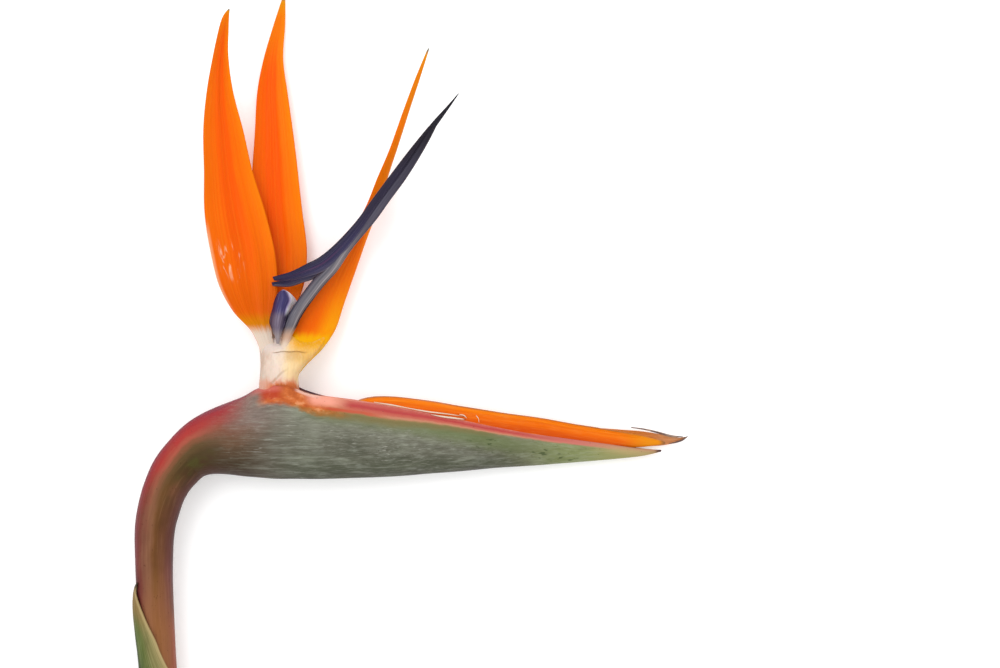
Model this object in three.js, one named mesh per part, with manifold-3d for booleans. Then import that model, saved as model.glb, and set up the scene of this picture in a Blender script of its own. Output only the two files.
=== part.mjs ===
// A bird of paradise flower, cut with a short length of its stalk and lying on its side.
// Units are millimetres. x runs along the boat-shaped spathe towards its tip, y runs up the open
// sepals, and z is the height above the surface that the flower lies on.
// The tables below are written from the foot of the floret, where it leaves the mouth of the
// spathe, and with z from the flower's middle plane. PLACE moves that point into the part's frame.
import * as THREE from "three";
import { mergeVertices } from "three/addons/utils/BufferGeometryUtils.js";
import Module from "manifold-3d";

const wasm = await Module();
wasm.setup();

// Driving dimensions
const CLEARANCE = 0.3; // between a piece and the seat that it stands in
const REST_DEPTH = 10.85; // from the middle plane down to the surface below
const PLACE = { x: -45.15, y: 30.9, z: REST_DEPTH };
const SEPAL_THICKNESS = 1.3; // at the midrib
const MARGIN_SHARE = 0.58; // of the midrib's thickness, left at a blade's margin
const SHEATH_THICKNESS = 0.9;
const SHEATH_GAP = 0.42;
const KEEL_SHARPNESS = 0.05;
const STALK_SIDES = 18;
const BUD_SIDES = 14;
const NECK_SIDES = 16;

// Stalk, from the cut end to the seat of the spathe.
// Columns: x, y, z, heading in degrees from +x, radius in the x-y plane, radius across it.
const STALK = [
  [-36.0, -200.0, -4.8, 93.5, 6.3, 6.3],
  [-38.1, -165.0, -3.6, 93.6, 6.3, 6.3],
  [-40.6, -130.0, -2.5, 93.8, 6.4, 6.4],
  [-42.9, -96.6, -1.6, 93.2, 6.5, 6.5],
  [-43.9, -74.2, -1.0, 91.5, 6.5, 6.5],
  [-44.1, -60.2, -0.6, 89.5, 6.6, 6.6],
  [-43.8, -49.7, -0.3, 85, 7.0, 6.9],
  [-42.3, -42.0, -0.1, 76, 7.4, 7.2],
  [-40.2, -35.5, 0, 66, 7.7, 7.5],
  [-36.9, -29.4, 0, 54, 8.3, 7.9],
  [-31.5, -23.3, 0, 33, 9.0, 8.5],
  [-25.5, -18.9, 0, 0, 11.2, 9.2],
];

// The sheathing bract. Columns: y, half of the angle that it wraps round the stalk, stand-off.
const SHEATH = [
  [-143.0, 168, 0],
  [-128.0, 168, 0],
  [-114.0, 164, 0],
  [-104.0, 140, 0],
  [-97.2, 110, 0.1],
  [-92.3, 92, 0.2],
  [-87.4, 78, 0.3],
  [-80.2, 52, 0.4],
  [-76.2, 37, 0.3],
  [-73.1, 25, 0.2],
  [-70.2, 12, 0],
  [-67.9, 3, 0],
];
const SHEATH_FACING = 12; // degrees from -x towards the viewer

// Spathe. Columns: x, keel, margin, half width, half of the mouth, wall, z of its middle.
const SPATHE = [
  [-25.2, -30.1, -7.7, 9.2, 0, 2.4, 0],
  [-18.9, -30.2, -4.8, 10.0, 0, 2.4, 0.1],
  [-10.5, -31.1, -1.3, 10.7, 1.6, 2.3, 0.3],
  [0, -31.8, -0.4, 11.0, 6.2, 2.2, 0.45],
  [14, -31.8, -2.2, 10.8, 4.6, 2.1, 0.3],
  [28, -31.5, -4.4, 10.0, 3.9, 2.0, -0.6],
  [42, -30.8, -6.8, 9.0, 3.8, 1.9, -2.0],
  [59.5, -29.5, -10.3, 7.6, 3.6, 1.7, -3.3],
  [77, -28.1, -14.0, 6.2, 3.3, 1.5, -4.4],
  [94.5, -26.8, -17.0, 4.8, 2.8, 1.2, -5.6],
  [112, -25.5, -19.4, 3.4, 2.1, 0.9, -6.5],
  [126, -24.2, -21.3, 1.8, 1.1, 0.6, -7.1],
  [133.8, -22.8, -21.8, 0.6, 0.2, 0.3, -7.3],
];
const SPATHE_SIDES = 22;
const MOUTH_STARTS = -9.0;
const CAVITY_ENDS = 128.0;

// Neck of the floret. Columns as for the stalk.
const NECK = [
  [0.2, -13.0, 0, 90, 4.6, 3.4],
  [0.0, -9.0, 0, 90, 5.6, 4.2],
  [-0.2, -4.0, 0, 90, 6.6, 5.2],
  [-0.3, 0.0, 0, 90, 7.0, 5.8],
  [-0.1, 4.0, 0, 90, 6.9, 6.0],
  [0.8, 8.0, 0, 90, 7.8, 6.1],
  [1.6, 11.0, 0, 90, 8.2, 5.7],
  [2.0, 13.6, 0, 90, 6.6, 4.6],
  [2.0, 15.4, 0, 90, 3.2, 2.4],
];

// The two broad sepals. Columns: y, x and z of the left edge, x and z of the right edge, z of the midrib.
const SEPAL_NEAR = [
  [5.0, -5.4, 0.9, -1.6, 0.9, 0.9],
  [9.0, -5.8, 0.9, -1.4, 0.7, 0.7],
  [13.5, -7.0, 1.1, -1.8, 0.3, 0.5],
  [20.0, -10.0, 1.7, -2.8, -0.3, 0.2],
  [27.0, -16.4, 2.2, -2.1, -1.6, -1.4],
  [36.0, -21.3, 2.4, -1.2, -4.0, -3.0],
  [48.0, -24.1, 2.2, -2.1, -4.2, -3.6],
  [62.0, -26.3, 1.8, -5.5, -3.8, -3.6],
  [76.0, -26.6, 2.0, -9.9, -3.0, -3.0],
  [90.0, -26.6, 2.8, -12.9, -1.8, -1.6],
  [104.0, -25.2, 4.0, -16.4, 0.2, 0.4],
  [116.0, -23.0, 5.4, -18.2, 2.6, 2.6],
  [125.0, -20.9, 6.6, -17.6, 4.6, 4.8],
  [131.6, -18.9, 7.6, -18.3, 7.0, 7.2],
];
const SEPAL_FAR = [
  [5.0, -3.6, -3.2, 1.2, -3.2, -3.2],
  [9.0, -3.8, -3.4, 1.4, -3.4, -3.6],
  [13.5, -4.2, -3.8, 1.8, -3.8, -4.2],
  [20.0, -5.4, -4.8, 2.6, -4.6, -5.4],
  [27.0, -6.6, -6.0, 4.6, -5.2, -6.8],
  [36.0, -8.0, -7.0, 8.0, -5.8, -8.2],
  [48.0, -9.4, -7.4, 9.0, -6.0, -8.8],
  [62.0, -10.3, -7.2, 7.6, -5.8, -8.8],
  [76.0, -10.2, -7.0, 6.0, -5.8, -8.8],
  [90.0, -9.4, -7.2, 4.1, -6.2, -9.0],
  [104.0, -8.5, -7.8, 2.2, -7.0, -9.4],
  [116.0, -6.3, -8.8, 0.6, -8.4, -9.9],
  [128.0, -2.9, -9.8, 1.2, -9.6, -10.2],
  [138.6, 0.5, -10.3, 1.2, -10.3, -10.3],
];

// The folded sepal. Columns: x and y of its two margins, x and y of its back, z of the near and far margin.
const SEPAL_MEDIAN = [
  [3.2, 4.5, 4.9, 3.6, 2.2, -3.6],
  [4.4, 9.0, 8.8, 8.4, 2.4, -4.2],
  [5.0, 14.5, 14.5, 14.2, 1.0, -5.8],
  [7.0, 21.5, 18.8, 20.9, -0.9, -7.0],
  [10.6, 29.5, 21.7, 29.6, -0.9, -7.4],
  [15.0, 38.0, 25.2, 39.5, -0.9, -7.4],
  [20.2, 47.0, 28.4, 48.5, -0.8, -7.2],
  [25.4, 55.5, 31.7, 57.5, -0.8, -6.6],
  [30.2, 64.0, 34.6, 65.5, -0.8, -6.0],
  [34.0, 73.6, 37.4, 74.8, -0.9, -5.4],
  [38.4, 84.0, 40.6, 84.6, -1.2, -5.0],
  [43.0, 97.0, 44.8, 97.4, -1.8, -4.6],
  [47.2, 108.4, 48.7, 108.8, -2.4, -4.2],
  [50.8, 118.4, 51.4, 118.6, -3.0, -3.7],
];

// Shaft of the arrow petal. Columns as for the stalk.
const ARROW_SHAFT = [
  [1.4, 8.0, -0.2, 88, 1.6, 1.4],
  [1.7, 14.0, 0.5, 80, 1.7, 1.5],
  [3.2, 19.5, 1.2, 62, 1.8, 1.6],
  [6.0, 25.6, 1.8, 58, 1.8, 1.6],
  [9.3, 31.0, 2.1, 55, 1.8, 1.6],
  [13.6, 36.6, 2.5, 52, 2.0, 1.8],
  [18.5, 42.3, 2.8, 53, 2.2, 2.0],
  [23.6, 50.0, 3.3, 55, 2.3, 2.0],
  [31.8, 59.8, 4.0, 54, 2.3, 1.9],
  [36.8, 66.6, 4.5, 53, 2.2, 1.8],
  [42.2, 73.5, 5.0, 52, 2.0, 1.6],
  [47.0, 80.4, 5.3, 54, 1.7, 1.4],
  [51.3, 87.1, 5.5, 56, 1.3, 1.1],
  [54.2, 92.0, 5.5, 57, 0.9, 0.8],
];
// Wings of the arrow, from the barb to the point. Columns: x, y, z of the upper and of the lower edge.
const WING_NEAR = [
  [-2.0, 38.4, 6.6, -1.3, 37.7, 6.3],
  [3.9, 40.5, 6.2, 3.6, 37.8, 5.4],
  [9.1, 43.1, 5.8, 9.4, 39.8, 4.6],
  [14.6, 46.1, 5.6, 15.2, 42.6, 4.2],
  [20.5, 51.2, 5.6, 21.8, 48.0, 4.4],
  [26.9, 58.2, 5.8, 28.6, 56.0, 5.0],
  [32.1, 65.2, 6.2, 34.0, 63.2, 5.5],
  [37.4, 72.3, 6.6, 39.4, 70.6, 5.9],
  [42.8, 79.4, 6.8, 44.6, 78.0, 6.2],
  [48.1, 86.2, 6.4, 49.4, 85.0, 6.0],
  [52.8, 91.9, 5.8, 53.5, 91.4, 5.7],
];
const WING_FAR = [
  [-2.8, 36.9, -1.8, -2.2, 35.9, -1.6],
  [3.6, 38.6, -1.4, 2.8, 35.5, -0.8],
  [9.0, 41.8, -0.8, 7.8, 36.9, 0],
  [14.7, 45.3, -0.2, 12.6, 38.8, 0.6],
  [20.4, 50.8, 0.6, 20.6, 46.4, 1.6],
  [26.8, 57.8, 1.8, 28.6, 55.6, 2.6],
  [32.0, 64.8, 2.6, 34.0, 63.0, 3.4],
  [37.3, 71.9, 3.4, 39.2, 70.4, 4.1],
  [42.6, 79.0, 4.0, 44.4, 77.8, 4.6],
  [48.0, 86.0, 4.8, 49.2, 84.8, 5.1],
  [52.7, 91.7, 5.3, 53.4, 91.3, 5.3],
];
const WING_THICKNESS = 1.5;
const WING_BULGE = 0.5;

const STYLE = [
  [54.45, 92.4, 5.5, 52, 0.9, 0.8],
  [58.6, 97.5, 5.6, 50, 0.75, 0.65],
  [62.4, 102.4, 5.6, 50, 0.35, 0.35],
];

// The small folded petal. Columns: x, y, z of the left edge, of the ridge and of the right edge.
const HOOD = [
  [-1.6, 10.5, 2.6, -0.2, 10.5, 2.9, 1.2, 10.5, 2.6],
  [-1.9, 15.5, 2.6, -0.8, 15.6, 3.4, 0.2, 15.7, 2.9],
  [-3.0, 20.0, 2.0, -1.3, 20.2, 3.9, 0.2, 20.4, 2.8],
  [-3.6, 23.6, 1.6, -0.9, 24.0, 4.2, 1.4, 24.4, 1.4],
  [-2.6, 27.6, 1.6, 0.6, 28.2, 4.2, 4.2, 28.4, -1.4],
  [-1.7, 31.0, 2.0, 1.4, 31.4, 4.0, 5.4, 31.0, -1.8],
  [-0.8, 33.6, 2.4, 1.0, 34.4, 3.2, 3.3, 34.0, 0.6],
];

// Closed florets: what lies inside the spathe (x, y of its middle, half height, half width) and the
// ridge that stands out of the mouth (x, top, bottom, half width).
const BUD_BELLY = [
  [-5.0, -21.0, 1.2, 1.2],
  [0.0, -21.6, 7.0, 6.4],
  [7.0, -21.0, 8.6, 7.8],
  [14.0, -19.6, 9.8, 8.2],
  [28.0, -18.1, 11.0, 7.6],
  [42.0, -18.5, 10.0, 6.7],
  [59.5, -19.4, 7.9, 5.5],
  [77.0, -20.6, 5.5, 4.3],
  [94.5, -21.4, 3.6, 3.2],
  [112.0, -21.8, 1.9, 2.0],
  [118.0, -21.8, 0.8, 0.8],
];
const BUD_RIDGE = [
  [14.0, -9.5, -20.0, 3.0],
  [21.0, -5.4, -22.0, 4.2],
  [28.0, -3.0, -22.0, 4.5],
  [40.0, -2.6, -22.0, 4.4],
  [52.5, -4.1, -22.0, 4.1],
  [65.0, -6.2, -21.5, 3.8],
  [77.7, -8.1, -21.5, 3.3],
  [91.0, -10.1, -21.3, 2.8],
  [103.0, -12.2, -21.2, 2.2],
  [113.0, -13.8, -20.9, 1.9],
  [122.0, -15.2, -20.7, 1.6],
  [129.0, -16.8, -20.3, 1.2],
  [135.0, -18.2, -19.4, 0.5],
];

// Dry membrane behind the tip of the buds. Columns: x, y, z of the upper and of the lower edge.
const BRACTEOLE = [
  [98.0, -13.1, -8.2, 98.0, -18.8, -8.1],
  [108.0, -13.5, -8.7, 108.0, -19.6, -8.5],
  [118.0, -14.2, -9.0, 118.0, -20.4, -8.7],
  [128.0, -15.3, -8.9, 128.0, -20.7, -8.3],
  [136.0, -17.1, -8.1, 136.0, -20.2, -7.8],
  [142.0, -18.2, -7.3, 142.2, -19.0, -7.3],
];
const MEMBRANE_THICKNESS = 0.8;

const radians = THREE.MathUtils.degToRad;
const vector = (x, y, z) => new THREE.Vector3(x, y, z);

// A row of numbers on the smooth curve through a table's rows: t is 0 at the first and 1 at the last.
function smooth(rows, t) {
  const along = t * (rows.length - 1);
  const i = THREE.MathUtils.clamp(Math.floor(along), 0, rows.length - 2);
  const f = along - i;
  const row = (k) => rows[THREE.MathUtils.clamp(k, 0, rows.length - 1)];
  return rows[i].map((b, column) => {
    const a = row(i - 1)[column];
    const c = row(i + 1)[column];
    const d = row(i + 2)[column];
    return b + 0.5 * f * (c - a + f * (2 * a - 5 * b + 4 * c - d + f * (3 * (b - c) + d - a)));
  });
}

// The row of a table at a given value of its first column, which rises from row to row.
function rowAt(rows, value) {
  let low = 0;
  let high = 1;
  for (let k = 0; k < 40; k++) {
    const middle = (low + high) / 2;
    if (smooth(rows, middle)[0] < value) low = middle;
    else high = middle;
  }
  return smooth(rows, low);
}

const stations = (steps) => Array.from({ length: steps + 1 }, (_, j) => j / steps);

// The solid inside a row of rings with the same number of points. A ring's second half runs back
// behind its first half, and both halves are split along the same diagonals, so a thin blade's two
// faces never cross.
function skin(rings) {
  const count = rings[0].length;
  const half = count / 2;
  const faces = [];
  const quad = (a, b, c, d) => faces.push(a, b, d, a, d, c);
  for (let j = 0; j + 1 < rings.length; j++)
    for (let i = 0; i < count; i++) {
      const a = j * count + i;
      const b = j * count + ((i + 1) % count);
      if (i < half) quad(a, b, a + count, b + count);
      else faces.push(a, b, a + count, b, b + count, a + count);
    }
  const last = (rings.length - 1) * count;
  for (let i = 0; i + 1 < half; i++) {
    const back = count - 1 - i;
    quad(i + 1, i, back - 1, back);
    quad(last + i, last + i + 1, last + back, last + back - 1);
  }
  const geometry = new THREE.BufferGeometry();
  geometry.setFromPoints(rings.flat());
  geometry.setIndex(faces);
  return solidOf(geometry);
}

// A closed geometry as a solid, turned right side out.
function solidOf(geometry) {
  const merged = mergeVertices(geometry, 1e-4);
  const vertProperties = merged.getAttribute("position").array;
  const triVerts = new Uint32Array(merged.index.array);
  const make = () => new wasm.Manifold(new wasm.Mesh({ numProp: 3, vertProperties, triVerts }));
  const made = make();
  if (made.volume() > 0) return made;
  for (let i = 0; i < triVerts.length; i += 3)
    [triVerts[i + 1], triVerts[i + 2]] = [triVerts[i + 2], triVerts[i + 1]];
  return make();
}

// A round or oval tube through a table of x, y, z, heading and two radii.
function tube(rows, steps, sides, grow = 0) {
  const rings = stations(steps).map((t) => {
    const [x, y, z, heading, inPlane, across] = smooth(rows, t);
    const side = vector(Math.sin(radians(heading)), -Math.cos(radians(heading)), 0);
    const ahead = vector(-side.y, side.x, 0);
    const longer = grow * (t === 1) - grow * (t === 0);
    return Array.from({ length: sides }, (_, i) => {
      const turn = ((i + 0.5) / sides) * 2 * Math.PI;
      return vector(x, y, z + (across + grow) * Math.sin(turn))
        .addScaledVector(side, (inPlane + grow) * Math.cos(turn))
        .addScaledVector(ahead, longer);
    });
  });
  return skin(rings);
}

// A tube that lies along x, through a table of x, z, top, bottom and half width.
function lyingTube(rows, steps, grow = 0) {
  const across = (x, z, top, bottom, half) => [
    x, (top + bottom) / 2, z, 0, (top - bottom) / 2, half,
  ];
  return tube(rows.map((row) => across(...row)), steps, BUD_SIDES, grow);
}

// A leaf-like blade. Each row holds x, y, z of edge A, of the middle line and of edge B, from root
// to tip. fold is 2 for a round gutter and nearer 1 for a crease.
function blade({ rows, thickness, fold = 2, steps, across }, grow = 0) {
  const surface = (t, s) => {
    const r = smooth(rows, t);
    const [a, m, b] = [0, 3, 6].map((k) => vector(r[k], r[k + 1], r[k + 2]));
    const middle = a.clone().add(b).multiplyScalar(0.5).sub(m);
    return m.addScaledVector(b.sub(a), s / 2).addScaledVector(middle, Math.abs(s) ** fold);
  };
  const step = 1e-3;
  const rings = stations(steps).map((t) => {
    const longer = grow * (t === 1) - grow * (t === 0);
    const width = surface(t, 1).distanceTo(surface(t, -1));
    const wider = 1 + (2 * grow) / width;
    const front = [];
    const back = [];
    for (let i = 0; i <= across; i++) {
      const s = (2 * i) / across - 1;
      const alongS = surface(t, s + step).sub(surface(t, s - step));
      const alongT = surface(t + step, s).sub(surface(t - step, s));
      const normal = alongS.cross(alongT).normalize();
      const half = (thickness / 2) * (1 - (1 - MARGIN_SHARE) * s * s) + grow;
      const point = surface(t, s * wider).addScaledVector(alongT.normalize(), longer);
      front.push(point.clone().addScaledVector(normal, half));
      back.unshift(point.clone().addScaledVector(normal, -half));
    }
    return [...front, ...back];
  });
  return skin(rings);
}

// Stalk and sheath

function stalk() {
  return tube(STALK, 32, STALK_SIDES);
}

function sheath() {
  const alongY = STALK.slice(0, 7).map(([x, y, z, , inPlane, across]) => [y, x, z, inPlane, across]);
  const spans = 14;
  const rings = stations(20).map((t) => {
    const [y, wrap, standOff] = smooth(SHEATH, t);
    const [, x, z, inPlane, across] = rowAt(alongY, y);
    const arc = (extra) =>
      Array.from({ length: spans + 1 }, (_, i) => {
        const angle = radians(SHEATH_FACING + wrap * ((2 * i) / spans - 1));
        const out = SHEATH_GAP + standOff * Math.cos(radians(wrap) * ((2 * i) / spans - 1)) ** 2 + extra;
        return vector(x - (inPlane + out) * Math.cos(angle), y, z + (across + out) * Math.sin(angle));
      });
    return [...arc(SHEATH_THICKNESS), ...arc(0).reverse()];
  });
  return skin(rings);
}

// Spathe

// The oval of the spathe at a station: its middle, half height and half width, inside a given wall.
function spatheOval(x, wall = 0) {
  const [, keel, margin, half, mouth, , z] = rowAt(SPATHE, x);
  const lip = Math.sqrt(Math.max(0, 1 - (mouth / half) ** 2));
  const sharpness = KEEL_SHARPNESS * THREE.MathUtils.smoothstep(x, SPATHE[0][0], 10);
  const height = (margin - keel) / (1 + sharpness + lip);
  const y = keel + (1 + sharpness) * height;
  return { y, z, height: height - wall, half: half - wall, mouth, sharpness };
}

const spatheMiddle = (x) => rowAt(SPATHE, x)[6];

function spatheOuter() {
  const [first, last] = [SPATHE[0][0], SPATHE[SPATHE.length - 1][0]];
  const rings = stations(26).map((t) => {
    const x = first + (last - first) * t;
    const { y, z, height, half, sharpness } = spatheOval(x);
    return Array.from({ length: SPATHE_SIDES }, (_, i) => {
      const turn = (i / SPATHE_SIDES) * 2 * Math.PI;
      const drop = sharpness * height * Math.max(0, -Math.cos(turn)) ** 6;
      return vector(x, y + height * Math.cos(turn) - drop, z + half * Math.sin(turn));
    });
  });
  return skin(rings);
}

// The hollow of the boat: an oval inside the walls, open upwards through the mouth.
function spatheHollow() {
  const arcPoints = 14;
  const above = 12;
  const rings = stations(20).map((t) => {
    const x = MOUTH_STARTS + (CAVITY_ENDS - MOUTH_STARTS) * t;
    const wall = rowAt(SPATHE, x)[5];
    const { y, z, height, half, mouth } = spatheOval(x, wall);
    const opens = THREE.MathUtils.smoothstep(x, MOUTH_STARTS - 1, MOUTH_STARTS + 9);
    const slot = Math.min(mouth * opens + 0.2, 0.92 * half);
    const from = Math.asin(slot / half);
    const ring = [vector(x, y + height + above, z + slot)];
    for (let i = 0; i < arcPoints; i++) {
      const turn = from + (2 * Math.PI - 2 * from) * (i / (arcPoints - 1));
      ring.push(vector(x, y + height * Math.cos(turn), z + half * Math.sin(turn)));
    }
    ring.push(vector(x, y + height + above, z - slot));
    return ring;
  });
  return skin(rings);
}

// Closed florets and their dry membrane

function buds(grow = 0) {
  const belly = BUD_BELLY.map(([x, y, height, half]) => [x, spatheMiddle(x), y + height, y - height, half]);
  const ridge = BUD_RIDGE.map(([x, top, bottom, half]) => [x, spatheMiddle(x) + 0.1, top, bottom, half]);
  return lyingTube(belly, 16, grow).add(lyingTube(ridge, 20, grow));
}

function bracteole(grow = 0) {
  const rows = BRACTEOLE.map(([ax, ay, az, bx, by, bz]) => [
    ax, ay, az, (ax + bx) / 2, (ay + by) / 2, (az + bz) / 2 - 0.3, bx, by, bz,
  ]);
  return blade({ rows, thickness: MEMBRANE_THICKNESS, steps: 10, across: 4 }, grow);
}

// Open floret

function broadSepal(table, grow = 0) {
  const rows = table.map(([y, leftX, leftZ, rightX, rightZ, ribZ]) => [
    leftX, y, leftZ, (leftX + rightX) / 2, y, ribZ, rightX, y, rightZ,
  ]);
  return blade({ rows, thickness: SEPAL_THICKNESS, steps: 24, across: 6 }, grow);
}

function foldedSepal(grow = 0) {
  const rows = SEPAL_MEDIAN.map(([x, y, backX, backY, near, far]) => [
    x, y, near, backX, backY, (near + far) / 2, x, y, far,
  ]);
  return blade({ rows, thickness: SEPAL_THICKNESS, fold: 1.7, steps: 24, across: 6 }, grow);
}

function arrow(grow = 0) {
  const wing = (table, side) => {
    const rows = table.map(([ax, ay, az, bx, by, bz]) => [
      ax, ay, az, (ax + bx) / 2, (ay + by) / 2, (az + bz) / 2 + side * WING_BULGE, bx, by, bz,
    ]);
    return blade({ rows, thickness: WING_THICKNESS, steps: 18, across: 2 }, grow);
  };
  return tube(ARROW_SHAFT, 24, 10, grow).add(wing(WING_NEAR, 1)).add(wing(WING_FAR, -1));
}

function hood(grow = 0) {
  return blade({ rows: HOOD, thickness: 1.1, fold: 1.4, steps: 12, across: 4 }, grow);
}

function neck(grow = 0) {
  return tube(NECK, 12, NECK_SIDES, grow);
}

// Assembly

const without = (solid, cutters) => cutters.reduce((rest, cutter) => rest.subtract(cutter), solid);

const neckSeats = [
  broadSepal(SEPAL_NEAR, CLEARANCE),
  broadSepal(SEPAL_FAR, CLEARANCE),
  foldedSepal(CLEARANCE),
  arrow(CLEARANCE),
  hood(CLEARANCE),
  buds(CLEARANCE),
];
const spatheSeats = [spatheHollow(), buds(CLEARANCE), bracteole(CLEARANCE), neck(CLEARANCE)];

const flower = new THREE.Group();
flower.position.set(PLACE.x, PLACE.y, PLACE.z);

// Flattens a solid where it presses on the surface below, drops the crumbs of its cuts, and adds it.
function addPiece(name, solid, color, roughness) {
  const bodies = solid.trimByPlane([0, 0, 1], -REST_DEPTH).decompose();
  const mesh = bodies.sort((a, b) => b.volume() - a.volume())[0].getMesh();
  const points = [];
  for (let i = 0; i < mesh.numVert; i++)
    points.push(...mesh.vertProperties.subarray(i * mesh.numProp, i * mesh.numProp + 3));
  const geometry = new THREE.BufferGeometry();
  geometry.setAttribute("position", new THREE.Float32BufferAttribute(points, 3));
  geometry.setIndex(Array.from(mesh.triVerts));
  const material = new THREE.MeshStandardMaterial({ color, roughness, metalness: 0 });
  const piece = new THREE.Mesh(geometry, material);
  piece.name = name;
  flower.add(piece);
}

addPiece("peduncle", stalk(), "#8a5a3c", 0.55);
addPiece("stem_sheath", sheath(), "#8c9a5a", 0.6);
addPiece("spathe", without(spatheOuter(), spatheSeats), "#75826a", 0.6);
addPiece("floret_base", without(neck(), neckSeats), "#ecdcc4", 0.5);
addPiece("sepal_near", broadSepal(SEPAL_NEAR), "#ff6a00", 0.45);
addPiece("sepal_far", broadSepal(SEPAL_FAR), "#fb6500", 0.45);
addPiece("sepal_median", foldedSepal(), "#ff7400", 0.45);
addPiece("arrow_petal", arrow(), "#37365a", 0.4);
addPiece("style_tip", tube(STYLE, 5, 8), "#232733", 0.5);
addPiece("hood_petal", hood(), "#5a5488", 0.45);
addPiece("closed_buds", buds(), "#f77a0a", 0.45);
addPiece("bracteole", without(bracteole(), [buds(CLEARANCE)]), "#b98a6c", 0.6);

export default flower;
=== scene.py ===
from math import asin, copysign, cos, exp, pi, radians, sin, sqrt, tau

import bmesh
import bpy
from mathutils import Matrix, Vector, noise


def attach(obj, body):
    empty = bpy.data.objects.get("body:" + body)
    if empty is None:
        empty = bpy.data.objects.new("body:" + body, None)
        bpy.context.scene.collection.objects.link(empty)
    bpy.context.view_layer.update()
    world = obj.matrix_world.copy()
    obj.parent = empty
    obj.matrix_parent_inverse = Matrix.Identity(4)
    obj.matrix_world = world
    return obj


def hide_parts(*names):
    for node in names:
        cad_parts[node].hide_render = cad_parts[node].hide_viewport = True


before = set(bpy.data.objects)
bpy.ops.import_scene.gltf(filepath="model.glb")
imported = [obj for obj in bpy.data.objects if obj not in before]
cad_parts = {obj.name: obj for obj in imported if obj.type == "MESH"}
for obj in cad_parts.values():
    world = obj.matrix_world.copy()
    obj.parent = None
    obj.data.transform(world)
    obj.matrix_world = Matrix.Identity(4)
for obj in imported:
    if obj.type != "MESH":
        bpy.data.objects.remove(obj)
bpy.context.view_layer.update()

FOOT = Vector((-45.15, 30.9, 10.85))


def table(text):
    """Rows of numbers, written with commas between the rows."""
    return [[float(n) for n in row.split()] for row in text.split(",")]


# Columns: x, y, z, heading in degrees, radius in the x-y plane, radius across it.
STALK = table("""
-36 -200 -4.8 93.5 6.3 6.3, -38.1 -165 -3.6 93.6 6.3 6.3, -40.6 -130 -2.5 93.8 6.4 6.4,
-42.6 -96.6 -1.6 93.2 6.2 6.4, -43.8 -74.2 -1 91.5 6.4 6.5, -44.1 -60.2 -0.6 89.5 6.6 6.6,
-43.8 -49.7 -0.3 85 7 6.9, -42.3 -42 -0.1 76 7.4 7.2, -40.2 -35.5 0 66 7.7 7.5, -36.9 -29.4 0 54 8.3 7.9,
-31.5 -23.3 0 33 9 8.5, -25.5 -18.9 0 0 11.2 9.2
""")
# Columns: y, half of the angle that it wraps, stand-off.
SHEATH = table("""
-143 168 0, -128 168 0, -114 164 0, -104 140 0, -97.2 110 0.1, -92.3 92 0.3, -87.4 78 0.6, -80.2 52 0.85,
-76.2 37 0.85, -73.1 25 0.75, -70.2 12 0.5, -67.9 3 0.1
""")
# Columns: x, keel, margin, half width, half of the mouth, wall, z of the middle.
SPATHE = table("""
-25.2 -30.1 -7.7 9.2 0 2.4 0, -18.9 -30.2 -5.3 10 0 2.4 0.1, -12.6 -30.9 -2.8 10.5 1 2.3 0.25,
-7.6 -31.3 -0.1 10.8 3.4 2.3 0.35, -1 -31.8 0.9 11 6.2 2.2 0.45, 5 -31.8 0.1 11 6 2.2 0.45,
9.5 -31.8 -1.6 10.9 5.2 2.1 0.4, 14 -31.8 -2.6 10.8 4.6 2.1 0.3, 28 -31.5 -4.4 10 3.9 2 -0.6,
42 -30.8 -6.8 9 3.8 1.9 -2, 59.5 -29.5 -10.3 7.6 3.6 1.7 -3.3, 77 -28.1 -14 6.2 3.3 1.5 -4.4,
94.5 -26.8 -17 4.8 2.8 1.2 -5.6, 112 -25.5 -19.4 3.4 2.1 0.9 -6.5, 126 -24.2 -21.3 1.8 1.1 0.6 -7.1,
133.8 -22.4 -21.9 0.3 0.1 0.2 -7.3
""")
# Columns: x, y, z, half width, half depth.
NECK = table("""
0.2 -13 0 4.6 3.4, 0 -9 0 5.6 4.2, -0.2 -4 0 6.6 5.2, -0.3 0 0 7 5.8, -0.2 4 0 6.8 6,
0.75 7.5 -0.2 7.6 5.7, 2 10.5 -0.6 9 4.8, 2.9 13.5 -1.2 10.3 4, 3.5 16 -2 11.5 3, 3.7 18.4 -2.9 12.2 1.6
""")
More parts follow.
